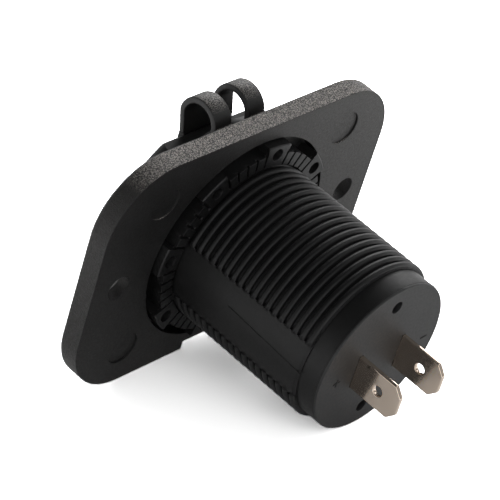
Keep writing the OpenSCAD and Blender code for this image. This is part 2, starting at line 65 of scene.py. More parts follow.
WHOLE: Span = (0.0, 1.0)
TONE_SPAN: Span = (0.35, 0.65)  # the part of the grain's tone that goes from dark to light
STAIN_SPAN: Span = (0.4, 0.68)  # the part of the stain that goes from clean to stained
SHEEN_SPAN: Span = (0.3, 0.7)  # the part of the sheen that goes from shiny to dull
PATCHES_PER_M = 120.0
STAINS_PER_M = 260.0
WAVE_LENGTH = 0.314  # length of one wave of the wave texture at a scale of 1

RIM_TURN: Span = (0.5, 0.97)  # how far a normal follows the barrel, on a rim and on a flat face
GLINT_LEVEL: Span = (8 * MM, 9 * MM)  # level where the painted highlight on the rim starts
GLINT_SLOPE: Span = (0.75, 1.0)  # how far up a face looks where the highlight is painted
GLINT_TOPS: Span = (0.5, 0.57)  # height in the grain from which its tops get the painted highlight

MERGE_MM = 0.0008  # a CAD node's corners are merged within this distance
FLAT_DEG = 0.4  # CAD faces that meet flatter than this are joined
TINY_MM = 0.001  # rounding leaves no edge shorter than this
COPY_SHARP_DEG = 38.0  # edges of a node's copy that stay sharp
EVEN_WEIGHT = 80  # how much the larger faces steer the shading at their edges


class Body(Enum):
    """The two bodies that the hinge joins."""

    SOCKET = "socket"
    CAP = "cap"


class Graph:
    """Short hand for building one node tree."""

    def __init__(self, tree: bpy.types.NodeTree) -> None:
        """Takes the tree and empties it.

        Args:
            tree: The node tree to fill.
        """
        self.tree = tree
        tree.nodes.clear()

    def add(
        self, kind: str, inputs: dict[str | int, object] | None = None, **settings: object
    ) -> bpy.types.Node:
        """Adds one node.

        Args:
            kind: The node's type, without the ShaderNode that it starts with.
            inputs: Values or output sockets for its inputs, by name or number.
            **settings: Values for its own properties.

        Returns:
            The new node.
        """
        made = self.tree.nodes.new(kind if kind.startswith("Node") else "ShaderNode" + kind)
        for name, value in settings.items():
            setattr(made, name, value)
        for key, value in (inputs or {}).items():
            if isinstance(value, bpy.types.NodeSocket):
                self.tree.links.new(value, made.inputs[key])
            else:
                made.inputs[key].default_value = value
        return made

    def math(self, operation: str, first: object, second: object = 0.0) -> Output:
        """Adds one sum of two values or sockets and returns its output."""
        return self.add("Math", {0: first, 1: second}, operation=operation).outputs[0]

    def weigh(self, first: Output, second: Output, share: float) -> Output:
        """Adds up two sockets, of which the first has the given share of 1, and returns the sum."""
        shares = (first, share), (second, 1 - share)
        return self.math("ADD", *(self.math("MULTIPLY", *pair) for pair in shares))

    def remap(self, value: Output, low: Span, high: Span) -> Output:
        """Maps a value from one range to another.

        Args:
            value: The socket to read.
            low: Range that it is read from.
            high: Range that it is mapped to.

        Returns:
            The mapped value's socket.
        """
        source = {"Value": value, "From Min": low[0], "From Max": low[1]}
        target = {"To Min": high[0], "To Max": high[1]}
        return self.add("MapRange", source | target).outputs["Result"]

    def mix(self, factor: Output, first: Colour | Output, second: Colour | Output) -> Output:
        """Mixes two colours.

        Args:
            factor: The second one's share.
            first: A colour, or the socket that carries it.
            second: The same for the other colour.

        Returns:
            The mixed colour's socket.
        """
        inputs = {0: factor}
        for number, colour in ((6, first), (7, second)):  # the node's two colour inputs
            inputs[number] = (*colour, 1) if isinstance(colour, tuple) else colour
        return self.add("Mix", inputs, data_type="RGBA").outputs[2]

    def noise(self, place: Output, scale: Output, detail: float, roughness: float = 0.5) -> Output:
        """Adds a noise texture and returns its value."""
        fields = {"Vector": place, "Scale": scale, "Detail": detail, "Roughness": roughness}
        return self.add("TexNoise", fields).outputs[0]

    def relief(self, height: Output, depth_mm: float) -> Output:
        """Adds a bump of the given depth and returns its normal."""
        return self.add("Bump", {"Distance": depth_mm * MM, "Height": height}).outputs[0]

    def rays(self) -> tuple[Output, Output]:
        """Tells the kinds of rays apart.

        Returns:
            Two outputs. The first is 1 for rays that are seen, the second for mirrored rays.
        """
        kinds = self.add("LightPath").outputs
        seen = self.math("MAXIMUM", kinds["Is Camera Ray"], kinds["Is Transmission Ray"])
        return seen, kinds["Is Glossy Ray"]

    def surface(self, fields: dict[str, object]) -> None:
        """Ends a material with a Principled shader that has these inputs."""
        shader = self.add("BsdfPrincipled", fields)
        self.add("OutputMaterial", {"Surface": shader.outputs[0]})


def new_group(
    name: str, inputs: dict[str, str], outputs: tuple[str, ...]
) -> tuple[Graph, bpy.types.Node]:
    """Starts a shader node group.

    Args:
        name: The group's name.
        inputs: Kind of each input socket, Float or Vector, by name.
        outputs: Names of the outputs, which are all plain numbers.

    Returns:
        The group's graph and its input node.
    """
    tree = bpy.data.node_groups.new(name, "ShaderNodeTree")
    graph = Graph(tree)
    for label, kind in inputs.items():
        tree.interface.new_socket(label, in_out="INPUT", socket_type="NodeSocket" + kind)
    for label in outputs:
        tree.interface.new_socket(label, in_out="OUTPUT", socket_type="NodeSocketFloat")
    return graph, graph.add("NodeGroupInput")


@functools.cache
def moulded_grain() -> bpy.types.NodeTree:
    """Builds the spark-eroded grain of a moulding.

    Returns:
        A node group that puts out the relief, tone and sheen over the surface.
    """
    coarseness, fine_share, patch_share = 0.37, 0.9, 0.75
    graph, given = new_group(
        "moulded_grain",
        {"Position": "Vector", "Grains per metre": "Float", "Patches per metre": "Float"},
        ("Relief", "Tone", "Sheen"),
    )
    place, grains, patches = (given.outputs[i] for i in range(3))
    fine = graph.noise(place, grains, detail=2.0, roughness=0.6)
    coarse = graph.noise(place, graph.math("MULTIPLY", grains, coarseness), detail=1.0)
    patchy = graph.noise(place, patches, detail=3.0)
    relief = graph.weigh(fine, coarse, fine_share)
    tone = graph.weigh(patchy, fine, patch_share)
    graph.add("NodeGroupOutput", {"Relief": relief, "Tone": tone, "Sheen": coarse})
    return graph.tree


@functools.cache
def drawn_metal() -> bpy.types.NodeTree:
    """Builds the fine lines and stains of drawn and plated sheet.

    Returns:
        A node group that puts out the relief, stain and sheen over the surface.
    """
    drawing, fineness, stain_share = (1.0, 0.05, 1.0), 7.0, 0.7
    graph, given = new_group(
        "drawn_metal",
        {"Position": "Vector", "Lines per metre": "Float", "Stains per metre": "Float"},
        ("Relief", "Stain", "Sheen"),
    )
    place, lines, stains = (given.outputs[i] for i in range(3))
    drawn = graph.add("VectorMath", {0: place, 1: drawing}, operation="MULTIPLY").outputs[0]
    streak = graph.noise(drawn, lines, detail=2.0)
    stain = graph.noise(place, stains, detail=4.0, roughness=0.6)
    speck = graph.noise(place, graph.math("MULTIPLY", stains, fineness), detail=2.0)
    blotch = graph.weigh(stain, speck, stain_share)
    graph.add("NodeGroupOutput", {"Relief": streak, "Stain": blotch, "Sheen": speck})
    return graph.tree


def new_material(name: str) -> tuple[bpy.types.Material, Graph]:
    """Starts a material with an empty graph.

    Args:
        name: The material's name.

    Returns:
        The material and its graph.
    """
    material = bpy.data.materials.new(name)
    material.use_nodes = True
    return material, Graph(material.node_tree)


def dressed(
    name: str, group: bpy.types.NodeTree, scales: Span
) -> tuple[bpy.types.Material, Graph, bpy.types.NodeOutputs]:
    """Starts a material whose surface effect comes from a group on Object coordinates.

    Args:
        name: The material's name.
        group: The node group to place in it.
        scales: Values for the group's second and third input.

    Returns:
        The material, its graph and the placed group's outputs.
    """
    material, graph = new_material(name)
    place = graph.add("TexCoord").outputs["Object"]
    effect = graph.add("Group", node_tree=group)
    graph.tree.links.new(place, effect.inputs[0])
    effect.inputs[1].default_value, effect.inputs[2].default_value = scales
    return material, graph, effect.outputs


@dataclass(frozen=True)
class Moulding:
    """Moulded plastic or rubber with a fine grain.

    Args:
        name: The material's name.
        slot: The record's material slot; not used.
        dark: Colour in the darker patches.
        light: Colour in the lighter patches.
        rough: Roughness from the shiniest to the dullest spot.
        grain_mm: Size of one grain.
        relief_mm: Height of the grain.
        specular: Strength of the reflection, 0.5 on plain plastic.
        rim_gain: How much higher the grain is on the rim than on faces square to the barrel.
        glint: Painted highlight on the grains' tops on the rim, where it faces up.
        tint: Colour of the reflection.
    """

    name: str
    slot: str
    dark: Colour
    light: Colour
    rough: Span = (0.38, 0.5)
    grain_mm: float = 0.3
    relief_mm: float = 0.03
    specular: float = 0.5
    rim_gain: float = 1.0
    glint: Colour = (0.24, 0.22, 0.2)
    tint: Colour = (1.0, 1.0, 1.0)

    def build(self) -> bpy.types.Material:
        """Builds the material.

        Returns:
            The new material.
        """
        scales = (1 / (self.grain_mm * MM), PATCHES_PER_M)
        material, graph, effect = dressed(self.name, moulded_grain(), scales)
        tone = graph.remap(effect["Tone"], TONE_SPAN, WHOLE)
        height, colour = effect["Relief"], graph.mix(tone, self.dark, self.light)
        if self.rim_gain > 1:
            height, colour = self.rim_grain_and_glint(graph, height, colour)
        graph.surface({
            "Base Color": colour,
            "Roughness": graph.remap(effect["Sheen"], SHEEN_SPAN, self.rough),
            "Normal": graph.relief(height, self.relief_mm),
            "Specular IOR Level": self.specular,
            "Specular Tint": (*self.tint, 1),
        })
        return material

    def rim_grain_and_glint(self, graph: Graph, height: Output, colour: Output) -> tuple[Output, Output]:
        """Raises the grain on the rim, and paints a pale highlight on its grain tops where it faces
        up.

        Args:
            graph: The material's graph.
            height: The even grain's height.
            colour: The colour without the painted highlight.

        Returns:
            The sockets of the new height and colour.
        """
        place = graph.add("TexCoord").outputs
        facing = graph.add("SeparateXYZ", {0: place["Normal"]}).outputs
        level = graph.add("SeparateXYZ", {0: place["Object"]}).outputs["Z"]
        gain = graph.remap(graph.math("ABSOLUTE", facing["Y"]), RIM_TURN, (self.rim_gain, 1.0))
        above = graph.remap(level, GLINT_LEVEL, WHOLE)
        upper = graph.math("MULTIPLY", above, graph.remap(facing["Z"], GLINT_SLOPE, WHOLE))
        # The grain tops on the upward-facing rim get a painted highlight.
        glint_mask = graph.math("MULTIPLY", graph.remap(height, GLINT_TOPS, WHOLE), upper)
        return graph.math("MULTIPLY", height, gain), graph.mix(glint_mask, colour, self.glint)


@dataclass(frozen=True)
class Plating:
    """Bare or plated metal with drawing lines and a little stain.

    Args:
        name: The material's name.
        slot: The record's material slot; not used.
        clean: Colour of the clean metal.
        stained: Colour where it is stained.
        rough: Roughness from the shiniest to the dullest spot.
        line_mm: Width of a drawing line.
        relief_mm: Height of the drawing lines.
    """

    name: str
    slot: str
    clean: Colour
    stained: Colour
    rough: Span = (0.2, 0.34)
    line_mm: float = 0.12
    relief_mm: float = 0.004

    def build(self) -> bpy.types.Material:
        """Builds the material.

        Returns:
            The new material.
        """
        scales = (1 / (self.line_mm * MM), STAINS_PER_M)
        material, graph, effect = dressed(self.name, drawn_metal(), scales)
        stain = graph.remap(effect["Stain"], STAIN_SPAN, WHOLE)
        graph.surface({
            "Base Color": graph.mix(stain, self.clean, self.stained),
            "Metallic": 1.0,
            "Roughness": graph.remap(effect["Sheen"], SHEEN_SPAN, self.rough),
            "Normal": graph.relief(effect["Relief"], self.relief_mm),
        })
        return material


@dataclass(frozen=True)
class Winding:
    """Enamelled wire wound side by side round an upright core.

    Args:
        name: The material's name.
        slot: The record's material slot; not used.
        dark: Colour between the turns.
        light: Colour on the turns.
        turn_mm: Distance from one turn to the next.
        relief_mm: Depth of the grooves between the turns.
        rough: Roughness of the enamel.
    """

    name: str
    slot: str
    dark: Colour
    light: Colour
    turn_mm: float = 0.5
    relief_mm: float = 0.1
    rough: float = 0.3

    def build(self) -> bpy.types.Material:
        """Builds the material.

        Returns:
            The new material.
        """
        material, graph = new_material(self.name)
        place = graph.add("TexCoord").outputs["Object"]
        waves = {"Vector": place, "Scale": WAVE_LENGTH / (self.turn_mm * MM)}
        turns = graph.add("TexWave", waves, bands_direction="Z").outputs["Fac"]
        graph.surface({
            "Base Color": graph.mix(turns, self.dark, self.light),
            "Metallic": 1.0,
            "Roughness": self.rough,
            "Normal": graph.relief(turns, self.relief_mm),
        })
        return material


@dataclass(frozen=True)
class Lamp:
    """Clear moulding that carries light.

    Args:
        name: The material's name.
        slot: The record's material slot; not used.
        tint: Colour of the clear plastic.
        rough: Roughness from the shiniest to the dullest spot.
        clear: How much of the light goes through.
        refraction: Its index of refraction.
        scales: Grains and patches per metre.
    """

    name: str
    slot: str
    tint: Colour
    rough: Span = (0.08, 0.2)
    clear: float = 0.85
    refraction: float = 1.49
    scales: Span = (9000.0, 400.0)

    def build(self) -> bpy.types.Material:
        """Builds the material.

        Returns:
            The new material.
        """
        material, graph, effect = dressed(self.name, moulded_grain(), self.scales)
        graph.surface({
            "Base Color": (*self.tint, 1),
            "Roughness": graph.remap(effect["Sheen"], SHEEN_SPAN, self.rough),
            "Transmission Weight": self.clear,
            "IOR": self.refraction,
        })
        return material


Finish = Moulding | Plating | Winding | Lamp

# The panel's pale glint colour is a painted highlight on its top rim.
PANEL_PLASTIC = Moulding(
    "panel_plastic", "panel_plastic", dark=(0.011, 0.011, 0.0112), light=(0.019, 0.019, 0.0195),
    rough=(0.36, 0.5), grain_mm=0.16, relief_mm=0.05, specular=0.47,
    rim_gain=4.5, glint=(0.76, 0.7, 0.65), tint=(1.0, 0.97, 0.945),
)
BARREL_PLASTIC = Moulding(
    "barrel_plastic", "body_plastic", dark=(0.01, 0.01, 0.0102), light=(0.016, 0.016, 0.0164),
    rough=(0.42, 0.5), grain_mm=0.16, relief_mm=0.012, specular=0.36,
)
COVER_PLASTIC = Moulding(
    "cover_plastic", "body_plastic", dark=(0.014, 0.0142, 0.0148), light=(0.02, 0.0202, 0.021),
    rough=(0.5, 0.58), grain_mm=0.16, relief_mm=0.012, specular=0.66,
)
NUT_PLASTIC = Moulding(
    "nut_plastic", "nut_plastic", dark=(0.009, 0.009, 0.0092), light=(0.015, 0.015, 0.0155),
    rough=(0.36, 0.46), grain_mm=0.18, relief_mm=0.014, specular=0.42,
)
FACE_PLASTIC = Moulding(
    "face_plastic", "face_plastic", dark=(0.014, 0.014, 0.0145), light=(0.022, 0.022, 0.0225),
    rough=(0.4, 0.5), grain_mm=0.2, relief_mm=0.02,
)
CAP_RUBBER = Moulding(
    "cap_rubber", "cap_rubber", dark=(0.011, 0.011, 0.0108), light=(0.018, 0.0178, 0.0175),
    rough=(0.5, 0.62), grain_mm=0.2, relief_mm=0.03, specular=0.42,
)
# The straps' pale glint colour is a painted highlight on their tops.
STRAP_RUBBER = Moulding(
    "strap_rubber", "cap_rubber", dark=(0.016, 0.016, 0.0155), light=(0.026, 0.0255, 0.025),
    rough=(0.4, 0.52), grain_mm=0.16, relief_mm=0.03, specular=0.5,
    rim_gain=1.5, glint=(0.45, 0.42, 0.39),
)
# Near-black painted shade for the cover's joint and the parting lines; the marks share it.
SEAM_SHADE = Moulding(
    "seam_shade", "body_plastic", dark=(0.004, 0.004, 0.004), light=(0.007, 0.007, 0.007),
    rough=(0.6, 0.7),
)
BLADE_PLATE = Plating(
    "blade_plate", "plated_blade", clean=(0.95, 0.81, 0.68), stained=(0.84, 0.7, 0.58),
    rough=(0.1, 0.18),
)
SHELL_STEEL = Plating(
    "shell_steel", "shell_steel", clean=(0.62, 0.63, 0.65), stained=(0.48, 0.48, 0.5)
)
CONTACT_GOLD = Plating(
    "contact_gold", "contact_gold", clean=(0.83, 0.6, 0.24), stained=(0.7, 0.46, 0.17)
)
CAN_ALUMINIUM = Plating(
    "can_aluminium", "can_aluminium", clean=(0.72, 0.73, 0.74), stained=(0.6, 0.61, 0.62)
)
INSULATOR = Moulding(
    "insulator", "insulator", dark=(0.72, 0.72, 0.7), light=(0.82, 0.82, 0.8),
    rough=(0.3, 0.4), grain_mm=0.2, relief_mm=0.006,
)
BOARD = Moulding(
    "board_laminate", "board_laminate", dark=(0.02, 0.13, 0.05), light=(0.035, 0.19, 0.08),
    rough=(0.25, 0.35), grain_mm=0.5, relief_mm=0.01,
)
FERRITE = Moulding(
    "ferrite", "ferrite", dark=(0.035, 0.035, 0.037), light=(0.06, 0.06, 0.062),
    rough=(0.6, 0.75), grain_mm=0.12, relief_mm=0.02,
)
CHIP = Moulding(
    "chip_plastic", "chip_plastic", dark=(0.012, 0.012, 0.012), light=(0.02, 0.02, 0.02),
    rough=(0.5, 0.6), grain_mm=0.1, relief_mm=0.01,
)
COPPER = Winding("copper_wire", "copper_wire", dark=(0.25, 0.09, 0.04), light=(0.78, 0.36, 0.18))
CLEAR = Lamp("lamp_clear", "lamp_clear", tint=(0.78, 0.88, 1.0))


@functools.cache
def material_of(finish: Finish) -> bpy.types.Material:
    """Builds a finish once and returns its material."""
    return finish.build()


def linked(name: str, data: bpy.types.ID) -> bpy.types.Object:
    """Makes an object of a mesh, light or camera and links it to the scene.

    Args:
        name: The object's name.
        data: What it shows.

    Returns:
        The new object.
    """
    made = bpy.data.objects.new(name, data)
    bpy.context.scene.collection.objects.link(made)
    return made


def mesh_object(
    name: str, form: bmesh.types.BMesh, material: bpy.types.Material
) -> bpy.types.Object:
    """Turns a bmesh in millimetres into an object in metres, at the origin.

    Args:
        name: The object's name.
        form: Its shape, in millimetres in the row frame. It is freed.
        material: Its material.

    Returns:
        The new object, linked to the scene.
    """
    bmesh.ops.scale(form, vec=(MM, MM, MM), verts=form.verts)
    mesh = bpy.data.meshes.new(name)
    form.to_mesh(mesh)
    form.free()
    mesh.materials.append(material)
    return linked(name, mesh)


def new_piece(
    name: str, form: bmesh.types.BMesh, finish: Finish, sharp_deg: float
) -> bpy.types.Object:
    """Turns a bmesh into a finished, smoothly shaded piece.

    Args:
        name: The piece's name.
        form: Its shape, in millimetres in the row frame. It is freed.
        finish: Its finish.
        sharp_deg: Edges sharper than this stay sharp.

    Returns:
        The new piece.
    """
    for face in form.faces:
        face.smooth = True
    made = mesh_object(name, form, material_of(finish))
    made.data.set_sharp_from_angle(angle=math.radians(sharp_deg))
    LOG.info("%s: %d faces", name, len(made.data.polygons))
    return made


def merged_node(node: str) -> bmesh.types.BMesh:
    """Copies a CAD node's shape, with its corners merged and its flat faces joined.

    Args:
        node: The CAD node.

    Returns:
        The copy, in millimetres.
    """
    form = bmesh.new()
    form.from_mesh(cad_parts[node].data)
    bmesh.ops.scale(form, vec=(1 / MM,) * 3, verts=form.verts)
    bmesh.ops.remove_doubles(form, verts=form.verts, dist=MERGE_MM)
    flat = math.radians(FLAT_DEG)
    bmesh.ops.dissolve_limit(form, angle_limit=flat, verts=form.verts, edges=form.edges)
    return form


def round_edges(form: bmesh.types.BMesh, width: float, steps: int, sharp_deg: float = 28) -> None:
    """Rounds every edge of a shape that is sharper than an angle.

    Args:
        form: The shape, in millimetres.
        width: Width of the rounding.
        steps: Facets across it.
        sharp_deg: The angle between two faces that makes their edge sharp.
    """
    limit = math.radians(sharp_deg)
    edges = [e for e in form.edges if e.is_manifold and e.calc_face_angle() > limit]
    bmesh.ops.bevel(
        form, geom=edges, offset=width, offset_type="OFFSET", affect="EDGES", segments=steps,
        profile=0.5, material=-1, clamp_overlap=True,
    )
    bmesh.ops.remove_doubles(form, verts=form.verts, dist=TINY_MM)
    bmesh.ops.dissolve_degenerate(form, dist=TINY_MM, edges=form.edges)


def soft_copy(
    node: str, name: str, finish: Finish, width: float, steps: int = 2, body: Body = Body.SOCKET
) -> None:
    """Stands for a CAD node with a copy whose edges are rounded as moulding leaves them.

    Large faces lead the shading, so that they look flat right up to their rounded edges.

    Args:
        node: The CAD node.
        name: The new piece's name.
        finish: Its finish.
        width: Width of the rounding in millimetres, 0 for none.
        steps: Facets across the rounding.
        body: The body that it rides on.
    """
    form = merged_node(node)
    if width:
        round_edges(form, width, steps)
    made = new_piece(name, form, finish, COPY_SHARP_DEG)
    even = made.modifiers.new("even_faces", "WEIGHTED_NORMAL")
    even.keep_sharp, even.weight = True, EVEN_WEIGHT
    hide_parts(node)
    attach(made, body.value)


def bar_shape(size: Vector, centre: Vector, edge: float) -> bmesh.types.BMesh:
    """Makes a small bar with rounded edges.

    Args:
        size: Its length along each axis.
        centre: Where its middle goes.
        edge: Width of the rounding.

    Returns:
        The bar's shape, in millimetres.
    """
    form = bmesh.new()
    bmesh.ops.create_cube(form, size=1.0)
    bmesh.ops.scale(form, vec=size, verts=form.verts)
    bmesh.ops.bevel(
        form, geom=form.edges[:], offset=edge, offset_type="OFFSET", affect="EDGES", segments=2,
        profile=0.5, material=-1,
    )
    bmesh.ops.translate(form, vec=centre, verts=form.verts)
    return form


def dress_node(node: str, finish: Finish) -> None:
    """Gives a CAD node that stays as it is its finish.

    Args:
        node: The CAD node.
        finish: Its finish.
    """
    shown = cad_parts[node]
    shown.data.materials.clear()
    shown.data.materials.append(material_of(finish))
    LOG.info("%s: dressed as packed", node)


@dataclass
class Housing:
    """Mounting panel, socket body, ring nut and rear cover, in millimetres.

    Args:
        panel_edge: Rounding of the panel's edges.
        nut_edge: Rounding of the nut's teeth.
        cover_edge: Rounding of the slots and holes in the cover.
        cover_rear: The rear cover's outer face.
        joint: Radius, width and place along the barrel of the cover's joint.
        joint_steps: Facets round the joint, and round the line in it.
        strip_r: Radius of the barrel's smooth strips.
        strip_angles: Angle of each strip's middle, from +X towards +Z, in degrees.
        seam_span: Where the parting line starts and ends along the barrel.
        seam_size: Width and height of the parting line.
        seam_lean: How far the parting line leans off the barrel's direction, in degrees.
        seam_edge: Rounding of the parting line.
        mark_size: Length and width of a bar of the polarity marks.
        mark_rise: Thickness of a mark's level bars and of its upright bar, half of it sunk.
        mark_edge: Rounding of the marks.
        plus_place: Middle of the plus, as x and z.
        minus_place: Middle of the minus, as x and z.
    """

    panel_edge: float = 0.22
    nut_edge: float = 0.08
    cover_edge: float = 0.06
    cover_rear: float = 32.0
    joint: tuple[float, float, float] = (13.56, 0.24, 31.55)
    joint_steps: tuple[int, int] = (120, 10)
    strip_r: float = 14.2
    strip_angles: tuple[float, ...] = (2.3, 182.3)
    seam_span: Span = (12.3, 28.4)
    seam_size: Span = (0.22, 0.06)
    seam_lean: float = -3.9
    seam_edge: float = 0.02
    mark_size: Span = (1.5, 0.3)
    mark_rise: Span = (0.14, 0.13)
    mark_edge: float = 0.03
    plus_place: Span = (9.3, -1.2)
    minus_place: Span = (-10.8, -0.6)

    def build(self) -> None:
        """Builds the four mouldings and their fine marks."""
        soft_copy("mounting_panel", "panel", PANEL_PLASTIC, self.panel_edge)
        soft_copy("socket_body", "barrel", BARREL_PLASTIC, width=0)
        soft_copy("retaining_nut", "ring_nut", NUT_PLASTIC, self.nut_edge)
        soft_copy("rear_cover", "cover", COVER_PLASTIC, self.cover_edge)
        self.cover_seam_shade()
        for number, angle in enumerate(self.strip_angles, 1):
            self.seam(number, angle)
        self.polarity_marks()

    def cover_seam_shade(self) -> None:
        """Runs a near-black ring round the joint between the barrel and its cover, as painted
        shade.
        """
        reach, width, rear = self.joint
        round_steps, line_steps = self.joint_steps
        form = bmesh.new()
        bmesh.ops.create_circle(form, cap_ends=False, radius=width / 2, segments=line_steps)
        bmesh.ops.translate(form, vec=(reach, rear, 0), verts=form.verts)
        bmesh.ops.spin(
            form, geom=form.verts[:] + form.edges[:], cent=(0, 0, 0), axis=(0, 1, 0),
            angle=math.tau, steps=round_steps, use_merge=True, use_duplicate=False,
        )
        bmesh.ops.recalc_face_normals(form, faces=form.faces)
        made = new_piece("cover_seam_shade", form, SEAM_SHADE, sharp_deg=60)
        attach(made, Body.SOCKET.value)

    def seam(self, number: int, angle: float) -> None:
        """Lays the fine parting line, a low ridge in near-black painted shade, along one smooth
        strip.

        Args:
            number: The strip's number, for the piece's name.
            angle: The strip's angle, from +X towards +Z.
        """
        low, high = self.seam_span
        width, height = self.seam_size
        size = Vector((2 * height, high - low, width))
        centre = Vector((self.strip_r, (low + high) / 2, 0))
        tilt = Matrix.Rotation(math.radians(self.seam_lean), 4, "X")
        lean = Matrix.Translation(centre) @ tilt @ Matrix.Translation(-centre)
        turn = Matrix.Rotation(-math.radians(angle), 4, "Y") @ lean
        form = bar_shape(size, centre, self.seam_edge)
        bmesh.ops.transform(form, matrix=turn, verts=form.verts)
        made = new_piece(f"parting_line_{number}", form, SEAM_SHADE, sharp_deg=40)
        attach(made, Body.SOCKET.value)

    def polarity_marks(self) -> None:
        """Raises a plus and a minus on the cover beside the blades."""
        (long, narrow), (level_rise, upright_rise) = self.mark_size, self.mark_rise
        level, upright = Vector((long, level_rise, narrow)), Vector((narrow, upright_rise, long))
        bars = (
            ("plus_level", level, self.plus_place),
            ("plus_upright", upright, self.plus_place),
            ("minus", level, self.minus_place),
        )
        for name, size, (x, z) in bars:
            # The marks take the near-black of the painted seam shade.
            form = bar_shape(size, Vector((x, self.cover_rear, z)), self.mark_edge)
            made = new_piece(f"mark_{name}", form, SEAM_SHADE, sharp_deg=40)
            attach(made, Body.SOCKET.value)


@dataclass
class Terminals:
    """The two plated blades, in millimetres.

    Args:
        edge: Rounding that stamping and plating leave on the edges.
    """

    edge: float = 0.16

    def build(self) -> None:
        """Builds both blades."""
        soft_copy("terminal_positive", "blade_positive", BLADE_PLATE, self.edge)
        soft_copy("terminal_negative", "blade_negative", BLADE_PLATE, self.edge)


@dataclass
class RubberCap:
    """Dust cap, the ring that ties it to the socket, and the straps between them, in millimetres.

    Args:
        cap_edge: Rounding of the cap's small edges.
        width: Width of a strap.
        spacing: Distance between the two straps' middles.
        thickness: Thickness of a strap.
        corner: Rounding of a strap's edges.
        loop_centre: Centre of a strap's loop, as y and z.
        loop_r: Radius of the loop to the strap's middle.
        stretches: Stretches along the straps' web, and round a loop.
        foot: Rear and front, and low and high end, of a strap's foot on the ring.
        foot_inset: How much narrower the foot is than its strap.
        end: Where the straps end at the cap's root, as y and z.
        bend_start: Where the straps stop following the socket, as y and z; not used.
        bend_end: Where they follow the cap alone, as y and z; not used.
    """

    cap_edge: float = 0.15
    width: float = 3.6
    spacing: float = 7.5
    thickness: float = 1.1
    corner: float = 0.18
    loop_centre: Span = (-9.4, 18.4)
    loop_r: float = 3.42
    stretches: tuple[int, int] = (6, 32)
    foot: tuple[Span, Span] = ((-5.2, -6.3), (18.42, 19.48))
    foot_inset: float = 0.02
    end: Span = (-11.75, 14.7)
    bend_start: Span = (-6.9, 19.0)
    bend_end: Span = (-13.0, 19.0)

    def build(self) -> None:
        """Builds the ring, the cap and the straps."""
        soft_copy("hinge_ring", "strap_ring", CAP_RUBBER, self.cap_edge)
        soft_copy("dust_cap", "cap", CAP_RUBBER, self.cap_edge, steps=3, body=Body.CAP)
        self.straps()

    def straps(self) -> None:
        """Sweeps both straps from the cap, joined by a web, and up round the loop to the ring."""
        form = self.root()
        loop_y, loop_z = self.loop_centre
        web_count, loop_count = self.stretches
        front = Vector((0, loop_y - self.loop_r, loop_z))
        tip = self.push(form, form.faces[:], front - Vector((0, *self.end)), web_count)
        parted = [f for f in tip if abs(f.calc_center_median().x) > self.spacing / 4]
        bmesh.ops.spin(
            form, geom=self.whole(parted), cent=(0, loop_y, loop_z), axis=(1, 0, 0),
            angle=-math.pi, steps=loop_count, use_duplicate=False,
        )
        bmesh.ops.recalc_face_normals(form, faces=form.faces)
        round_edges(form, self.corner, steps=2, sharp_deg=40)
        for side in (-1, 1):
            self.join(form, self.foot_shape(side))
        made = new_piece("straps", form, STRAP_RUBBER, sharp_deg=50)
        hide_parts("hinge_straps")
        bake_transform(made)

    def root(self) -> bmesh.types.BMesh:
        """Makes the flat section that the straps are swept from: a strap, the web and a strap.

        Returns:
            Three faces side by side where the straps end at the cap's root.
        """
        form, half, faces = bmesh.new(), 0.5, 3
        bmesh.ops.create_grid(form, x_segments=faces, y_segments=1, size=half)
        outer = [v for v in form.verts if abs(v.co.x) > half / 2]
        inner = [v for v in form.verts if abs(v.co.x) < half / 2]
        across, gap = self.spacing + self.width, faces * (self.spacing - self.width)
        bmesh.ops.scale(form, vec=(across, self.thickness, 1), verts=outer)
        bmesh.ops.scale(form, vec=(gap, self.thickness, 1), verts=inner)
        bmesh.ops.translate(form, vec=(0, *self.end), verts=form.verts)
        return form

    def foot_shape(self, side: int) -> bmesh.types.BMesh:
        """Makes the foot that joins a strap to the ring.

        Args:
            side: -1 or 1, for the strap towards -X or +X.

        Returns:
            The foot's shape, in millimetres.
        """
        (rear, front), (low, high) = self.foot
        size = Vector((self.width - self.foot_inset, rear - front, high - low))
        middle = Vector((side * self.spacing / 2, (rear + front) / 2, (low + high) / 2))
        return bar_shape(size, middle, self.corner)

    @staticmethod
    def join(form: bmesh.types.BMesh, other: bmesh.types.BMesh) -> None:
        """Adds another shape to a shape.

        Args:
            form: The shape that grows.
            other: The shape to add. It is freed.
        """
        carrier = bpy.data.meshes.new("carrier")
        other.to_mesh(carrier)
        other.free()
        form.from_mesh(carrier)
        bpy.data.meshes.remove(carrier)

    @staticmethod
    def whole(faces: list[bmesh.types.BMFace]) -> list:
        """Gathers what belongs to some faces, so that a sweep of all of it leaves no face inside.

        Args:
            faces: The faces.

        Returns:
            The faces with their edges and corners, each of them once.
        """
        edges = [e for f in faces for e in f.edges]
        corners = [v for f in faces for v in f.verts]
        return list(dict.fromkeys(faces + edges + corners))

    @staticmethod
    def push(
        form: bmesh.types.BMesh, tip: list[bmesh.types.BMFace], step: Vector, count: int
    ) -> list[bmesh.types.BMFace]:
        """Extrudes the straps' tip straight on.

        Args:
            form: The straps' shape.
            tip: The faces at their tip.
            step: How far the tip moves in all.
            count: Number of stretches.

        Returns:
            The faces at the new tip.
        """
        for _ in range(count):
            grown = bmesh.ops.extrude_face_region(form, geom=RubberCap.whole(tip))["geom"]
            tip = [g for g in grown if isinstance(g, bmesh.types.BMFace)]
            moved = [g for g in grown if isinstance(g, bmesh.types.BMVert)]
            bmesh.ops.translate(form, vec=step / count, verts=moved)
        return tip


